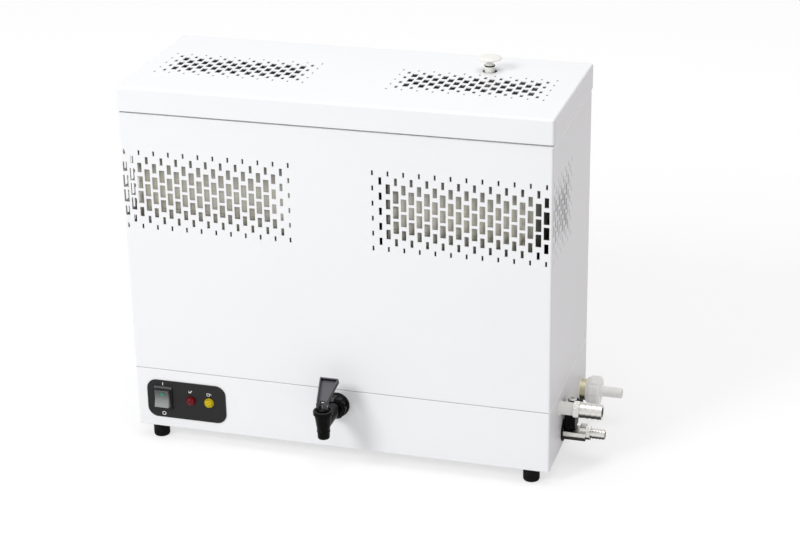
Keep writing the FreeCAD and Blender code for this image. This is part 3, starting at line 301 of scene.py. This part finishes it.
def galvanised():
    """Galvanised sheet: spangle in two greys."""
    f = Finish("carrier_steel", (0.50, 0.51, 0.52), 0.45, Metallic=1.0)
    cells = Field(f.tree, f.node("ShaderNodeTexVoronoi", Vector=f.spot, Scale=160.0).outputs[0])
    f.shade(cells.ramp(0.2, 0.7), (0.62, 0.63, 0.65))
    f.feed("Roughness", cells * 0.2 + 0.36)
    return f.material


def glossy_tap():
    """Deep black glossy plastic, with a painted grey sheen where it faces up."""
    f = Finish("tap_black", (0.0022, 0.0021, 0.002), 0.12, Specular_IOR_Level=0.05)
    haze = f.noise(140.0, 2.0)
    # painted sheen where it faces up
    f.shade(f.facing(2).ramp(0.4, 0.95) * (haze * 0.8 + 0.3), (0.05, 0.05, 0.05))
    f.feed("Roughness", haze * 0.1 + 0.06)
    f.relief(f.noise(900.0, 2.0), 0.00001, 0.5)
    return f.material


def key_moulding():
    """Rocker key: satin grained plastic with painted light towards its lower edge and painted shade towards
    its top.
    """
    f = Finish("key_black", (0.27, 0.275, 0.275), 0.38)
    grain = f.noise(1500.0, 2.0)
    foot, top = low("switch_key")[2], high("switch_key")[2]
    # painted shade towards the top of the key, over a base colour that is painted light
    f.shade(f.axis(2).ramp(foot + 0.1 * (top - foot), top), (0.045, 0.048, 0.048))
    f.feed("Roughness", grain * 0.12 + 0.32)
    f.relief(grain, 0.00003, 0.7)
    return f.material


def switch_rim():
    """Black switch bezel with a painted grey highlight along its upper rim."""
    f = Finish("switch_black", (0.006, 0.006, 0.0062), 0.36, Specular_IOR_Level=0.2)
    grain = f.noise(1400.0, 2.0)
    top = high("switch_frame")[2]
    # painted highlight along the upper rim
    rim = f.axis(2).ramp(top - 3.0 * MM, top - 2.2 * MM)
    f.shade(rim * (grain * 0.5 + 0.5), (0.10, 0.10, 0.105))
    f.feed("Roughness", grain * 0.12 + 0.3)
    f.relief(grain, 0.00003, 0.6)
    return f.material


def lens(name, colour, deep, glow):
    """Signal lamp lens: coloured plastic in small facets, deeper in colour between them, faintly lit.

    The colour goes over to deep with the distance from each facet's middle.
    """
    gloss = {"IOR": 1.5, "Specular_IOR_Level": 0.12, "Coat_Weight": 0.1, "Coat_Roughness": 0.04}
    f = Finish(name, colour, 0.10, **gloss)
    facets = Field(f.tree, f.node("ShaderNodeTexVoronoi", Vector=f.spot, Scale=560.0).outputs[0])
    f.shade(facets.ramp(0.25, 0.85), deep)
    f.shader.inputs["Emission Color"].default_value = (*glow, 1.0)
    f.shader.inputs["Emission Strength"].default_value = 0.12
    f.relief(facets, 0.0002, 0.25)
    return f.material


def print_white():
    """White screen print on the control plate, worn to grey in places."""
    f = Finish("print_white", (0.88, 0.88, 0.88), 0.5)
    wear = f.noise(2600.0, 3.0)
    f.shade(wear.ramp(0.5, 0.8) * 0.5, (0.6, 0.6, 0.6))
    f.relief(wear, 0.00002, 0.5)
    return f.material


def silicone():
    """Milky silicone hose."""
    f = Finish("hose_silicone", (0.74, 0.74, 0.70), 0.4, Subsurface_Weight=0.2)
    haze = f.noise(90.0, 2.0)
    f.shade(haze.ramp(0.3, 0.8) * 0.5, (0.66, 0.66, 0.60))
    f.feed("Roughness", haze * 0.15 + 0.32)
    f.relief(f.noise(700.0, 2.0), 0.00004, 0.4)
    return f.material


FINISHES = {
    "white_coat": powder_coat(),
    "foot_rubber": rubber("foot_rubber", (0.004, 0.004, 0.0045), 0.72),
    "dark_seal": rubber("dark_seal", (0.008, 0.008, 0.008), 0.55),
    "stopper_plastic": moulded("stopper_plastic", (0.80, 0.79, 0.75), 0.3),
    "plate_black": moulded("plate_black", (0.0175, 0.0168, 0.0172), 0.42, Specular_IOR_Level=0.15),
    "switch_black": switch_rim(),
    "key_black": key_moulding(),
    "green_light": lens("green_light", (0.02, 0.42, 0.20), (0.0, 0.16, 0.08), (0.02, 0.6, 0.3)),
    "lamp_red": lens("lamp_red", (0.15, 0.002, 0.008), (0.05, 0.001, 0.003), (0.2, 0.0, 0.01)),
    "lamp_amber": lens("lamp_amber", (0.54, 0.41, 0.003), (0.30, 0.22, 0.0), (0.5, 0.38, 0.0)),
    "black_moulding": moulded("black_moulding", (0.003, 0.0028, 0.003), 0.36, Specular_IOR_Level=0.05),
    "tap_black": glossy_tap(),
    # the lever has a painted sheen where it faces up
    "lever_black": moulded("lever_black", (0.012, 0.012, 0.0135), 0.42, up_light_factor=8.5, Specular_IOR_Level=0.25),
    # the stem has painted shade where it faces up
    "stem_plastic": moulded("stem_plastic", (0.16, 0.16, 0.155), 0.22, up_light_factor=0.3, Metallic=0.6),
    "steel_pin": plated("steel_pin", (0.62, 0.62, 0.61), 0.3, 0),
    "nickel": plated("nickel", (0.64, 0.63, 0.60), 0.28, 0),
    "pale_plastic": moulded("pale_plastic", (0.84, 0.84, 0.80), 0.4),
    "white_plastic": moulded("white_plastic", (0.97, 0.96, 0.93), 0.42),
    "union_brass": plated("union_brass", (0.62, 0.59, 0.40), 0.42, 0),
    "vessel_steel": brushed("vessel_steel", (0.44, 0.43, 0.38), 0.34, 0, VENT_LIGHT),
    "carrier_steel": galvanised(),
    "heater_steel": plated("heater_steel", (0.42, 0.40, 0.37), 0.4, 1),
    "hose_silicone": silicone(),
    "grey_plastic": moulded("grey_plastic", (0.30, 0.31, 0.32), 0.5),
}
PRINT = print_white()


def dress(obj, material):
    """Gives a mesh one material."""
    obj.data.materials.clear()
    obj.data.materials.append(material)


def softened(obj, angle):
    """Smooth shading with edges kept sharp past an angle in degrees."""
    for polygon in obj.data.polygons:
        polygon.use_smooth = True
    if hasattr(obj.data, "set_sharp_from_angle"):
        obj.data.set_sharp_from_angle(angle=math.radians(angle))


SLOT_OF = {entry["node"]: entry["material_slot"] for entry in frame["record"]["subparts"]}
for node, obj in frame["nodes"].items():
    dress(obj, FINISHES[SLOT_OF[node]])


# Meshes from numpy grids


def mesh_object(name, points, faces, material):
    """Mesh object with one material, from points and lists of their numbers, face by face."""
    mesh = bpy.data.meshes.new(name)
    mesh.from_pydata(points.reshape(-1, 3).tolist(), [], faces)
    mesh.update()
    mesh.materials.append(material)
    obj = bpy.data.objects.new(name, mesh)
    bpy.context.scene.collection.objects.link(obj)
    return obj


def grid_faces(rows, columns):
    """Quads between the neighbours of a grid of points, row by row."""
    r, c = np.meshgrid(np.arange(rows - 1), np.arange(columns - 1), indexing="ij")
    first = r * columns + c
    quads = np.stack([first, first + 1, first + columns + 1, first + columns], -1)
    return quads.reshape(-1, 4).tolist()


def stroke(points, width, rise, count=10):
    """One printed stroke: a capsule round the straight line from a to b, as a slab that stands off by rise.

    With d along the line and s across it, the half circle at b is b + w/2 (cos t d + sin t s) for t from -90
    to 90 degrees, the one at a is a - w/2 (cos t d + sin t s), and straight sides join them.
    """
    a, b = (np.array(p, float) for p in points)
    along = (b - a) / np.linalg.norm(b - a)
    side = np.array([-along[1], along[0]])
    angle = np.linspace(-math.pi / 2, math.pi / 2, count)[:, None]
    far = b + width / 2 * (np.cos(angle) * along + np.sin(angle) * side)
    near = a + width / 2 * (-np.cos(angle) * along - np.sin(angle) * side)
    ring = np.concatenate([far, near])
    return slab([ring], rise)


def slab(rings, rise):
    """Closed slab over one outline, or between an outer and an inner ring of as many points."""
    n = len(rings[0])
    layers = [np.stack([ring[:, 0], np.full(n, h), ring[:, 1]], -1) for ring in rings for h in (0.0, -rise)]
    faces = []
    k = np.arange(n)
    after = (k + 1) % n
    if len(rings) == 1:
        faces = [[*range(n)][::-1], [*range(n, 2 * n)]]
        faces += np.stack([k, after, after + n, k + n], -1).tolist()
    else:
        layer_order = [0, 1, 3, 2, 0]
        for this, then in zip(layer_order[:-1], layer_order[1:]):
            faces += np.stack([k + this * n, after + this * n, after + then * n, k + then * n], -1).tolist()
    return np.concatenate(layers), faces


def ring_stroke(centre, radius, width, rise, count=28):
    """Printed ring: the circles of radius r + w/2 and r - w/2 round one centre, joined to a slab."""
    angle = np.linspace(0, 2 * math.pi, count, endpoint=False)
    circle = np.stack([np.cos(angle), np.sin(angle)], -1)
    return slab([np.array(centre) + circle * (radius + share * width) for share in (0.5, -0.5)], rise)


def print_mark(name, parts, place):
    """All strokes of one printed mark as one mesh on the control plate; place is its middle in X and Z."""
    points, faces, start = [], [], 0
    front = low("control_plate")[1]
    for part_points, part_faces in parts:
        points.append(part_points * MM + np.array([place[0], front, place[1]]))
        faces += [[i + start for i in face] for face in part_faces]
        start += len(part_points)
    obj = mesh_object(name, np.concatenate(points), faces, PRINT)
    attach(obj, "still")


def printed_marks():
    """On and off marks at the switch, and a plain picture above each lamp."""
    switch, red, amber = middle("switch_frame"), middle("lamp_red_lens"), middle("lamp_amber_lens")
    rise = 0.06
    bar = [stroke([(0, -1.5), (0, 1.5)], 0.85, rise)]
    print_mark("mark_on", bar, (switch[0] - 0.0004, switch[2] + 0.0176))
    print_mark("mark_off", [ring_stroke((0, 0), 2.0, 0.75, rise)], (switch[0] - 0.0006, switch[2] - 0.0201))
    tick = [stroke([(-1.7, 0.0), (-0.6, -1.4)], 0.9, rise), stroke([(-0.6, -1.4), (1.9, 1.7)], 0.9, rise),
            stroke([(-1.6, 1.5), (-1.2, 1.2)], 0.6, rise)]
    print_mark("mark_heating", tick, (red[0] - 0.0006, red[2] + 0.0107))
    vessel = [stroke([(-2.2, 1.3), (-2.2, -1.8)], 0.5, rise), stroke([(-2.2, -1.8), (1.0, -1.8)], 0.5, rise),
              stroke([(1.0, -1.8), (1.0, 1.3)], 0.5, rise), stroke([(-1.3, 1.2), (0.2, 1.2)], 0.7, rise),
              stroke([(1.9, 0.7), (2.9, 0.1)], 0.7, rise)]
    print_mark("mark_full", vessel, (amber[0] - 0.0003, amber[2] + 0.0103))


printed_marks()


# Screws


def screw_head(name, place, outward, radius):
    """Pan head with a cross recess, on a square grid drawn out to a disc so that no point is a pole.

    For u and v from -1 to 1 the disc is x = u sqrt(1 - v^2 / 2), y = v sqrt(1 - u^2 / 2), and the head's
    height is 0.55 sqrt(1 - (x^2 + y^2)^2). A cross is sunk into it by 0.32. Its bars are full depth to 0.10
    either side of their middle line and to 0.52 along it, and their walls slope up to 0.17 and 0.60.
    """
    count = 41
    u, v = np.meshgrid(np.linspace(-1, 1, count), np.linspace(-1, 1, count), indexing="ij")
    x = u * np.sqrt(1 - v * v / 2)
    y = v * np.sqrt(1 - u * u / 2)
    across = np.minimum(np.abs(x), np.abs(y))
    along = np.maximum(np.abs(x), np.abs(y))
    recess = np.clip((0.17 - across) / 0.07, 0, 1) * np.clip((0.60 - along) / 0.08, 0, 1)
    height = 0.55 * np.sqrt(np.clip(1 - (x * x + y * y) ** 2, 0, 1)) - 0.32 * recess
    n = np.array(outward, float)
    side = np.array([n[1], n[2], n[0]])
    other = np.cross(side, n)
    points = x[..., None] * side + y[..., None] * other + height[..., None] * n
    points = points * radius + np.array(place)
    obj = mesh_object(name, points, grid_faces(count, count), FINISHES["steel_pin"])
    softened(obj, 35)
    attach(obj, "still")


def screws():
    """Screws of the back panel down both sides of the case, and one in the recess of each foot."""
    lap = 7.5 * MM
    for k, x in enumerate((CASE_LEFT + lap, CASE_RIGHT - lap)):
        for j, share in enumerate((0.06, 0.35, 0.64, 0.93)):
            z = SEAM + share * (LID_EDGE - SEAM)
            screw_head(f"panel_screw_{k}_{j}", (x, high("casing_left")[1], z), (0, 1, 0), 3.2 * MM)
    for foot in ("foot_front_left", "foot_front_right", "foot_rear_left", "foot_rear_right"):
        x, y, _ = middle(foot)
        screw_head(f"{foot}_screw", (x, y, FOOT_RECESS), (0, 0, -1), 3.0 * MM)


screws()


# Stage, light and camera


def stage_floor():
    """Plain pale floor whose shade goes over to the white of the background away from the feet."""
    material = bpy.data.materials.new("floor_white")
    material.use_nodes = True
    tree = material.node_tree
    shader = next(n for n in tree.nodes if n.type == "BSDF_PRINCIPLED")
    shader.inputs["Roughness"].default_value = 0.9
    shader.inputs["Emission Color"].default_value = (1, 1, 1, 1)
    spot = tree.nodes.new("ShaderNodeTexCoord").outputs["Object"]
    length = tree.nodes.new("ShaderNodeVectorMath")
    length.operation = "LENGTH"
    tree.links.new(spot, length.inputs[0])
    away = Field(tree, length.outputs["Value"]).ramp(0.25, 1.6)
    path = tree.nodes.new("ShaderNodeLightPath")
    seen = Field(tree, path.outputs["Is Camera Ray"])
    lift = seen.math("MAXIMUM", Field(tree, path.outputs["Is Glossy Ray"]) * 0.6) * (away * 0.06 + 0.63)
    tree.links.new(lift.socket, shader.inputs["Emission Strength"])
    grey = tree.nodes.new("ShaderNodeCombineColor")
    for place in grey.inputs:
        tree.links.new((0.82 - seen * 0.46).socket, place)
    tree.links.new(grey.outputs[0], shader.inputs["Base Color"])
    span = 6.0
    points = np.array([[-span, -span, 0], [span, -span, 0], [span, span, 0], [-span, span, 0]])
    mesh_object("floor", points, [[0, 1, 2, 3]], material)


def white_world(ambient):
    """World that is white to the camera, in glass and in metal, and lights the object by ambient."""
    world = bpy.data.worlds.new("studio")
    bpy.context.scene.world = world
    world.use_nodes = True
    tree = world.node_tree
    background = next(n for n in tree.nodes if n.type == "BACKGROUND")
    background.inputs["Color"].default_value = (1, 1, 1, 1)
    path = tree.nodes.new("ShaderNodeLightPath")
    seen = Field(tree, path.outputs["Is Camera Ray"])
    clear = seen.math("MAXIMUM", Field(tree, path.outputs["Is Transmission Ray"]))
    clear = clear.math("MAXIMUM", Field(tree, path.outputs["Is Glossy Ray"]))
    tree.links.new((clear * (1.0 - ambient) + ambient).socket, background.inputs["Strength"])


def softbox(name, place, aim, size, power):
    """Square area lamp at a place, turned to a point."""
    lamp = bpy.data.lights.new(name, "AREA")
    lamp.shape = "SQUARE"
    lamp.size = size
    lamp.energy = power
    obj = bpy.data.objects.new(name, lamp)
    obj.location = place
    obj.rotation_mode = "QUATERNION"
    obj.rotation_quaternion = (Vector(aim) - Vector(place)).to_track_quat("-Z", "Y")
    bpy.context.scene.collection.objects.link(obj)


def photo_camera():
    """Camera of the photograph, placed in case widths from the case's front left lower corner.

    The lens length follows from the focal length in pixels and the picture's width.
    """
    sensor, focal_pixels, picture_width = 36.0, 2072.70, 800.0
    yaw, pitch, roll = (math.radians(v) for v in (16.5445, 22.6891, -0.9474))
    place = np.array([1.8647, -4.0688, 2.2467]) * CASE_W + np.array([CASE_LEFT, CASE_FRONT, TRAY_LOW])
    ahead = Vector((-math.sin(yaw) * math.cos(pitch), math.cos(yaw) * math.cos(pitch), -math.sin(pitch)))
    right = ahead.cross(Vector((0, 0, 1))).normalized()
    up = right.cross(ahead)
    turn = Matrix.Rotation(roll, 3, "Z")
    base = Matrix((right, up, -ahead)).transposed()
    data = bpy.data.cameras.new("photo_camera")
    data.sensor_width = sensor
    data.lens = sensor * focal_pixels / picture_width
    data.clip_end = 50.0
    obj = bpy.data.objects.new("photo_camera", data)
    obj.matrix_world = Matrix.Translation(Vector(place)) @ (base @ turn).to_4x4()
    bpy.context.scene.collection.objects.link(obj)
    bpy.context.scene.camera = obj


stage_floor()
white_world(0.495)
softbox("key", (-1.6, -2.6, 2.2), (0, 0, 0.2), 1.0, 55.0)
softbox("glint", (-1.3, -2.4, 2.6), (0, 0, 0.2), 0.2, 4.0)
softbox("top", (0.2, -0.3, 2.6), (0, 0, 0.4), 1.4, 21.3)
photo_camera()

view_settings = bpy.context.scene.view_settings
view_settings.view_transform = "Standard"
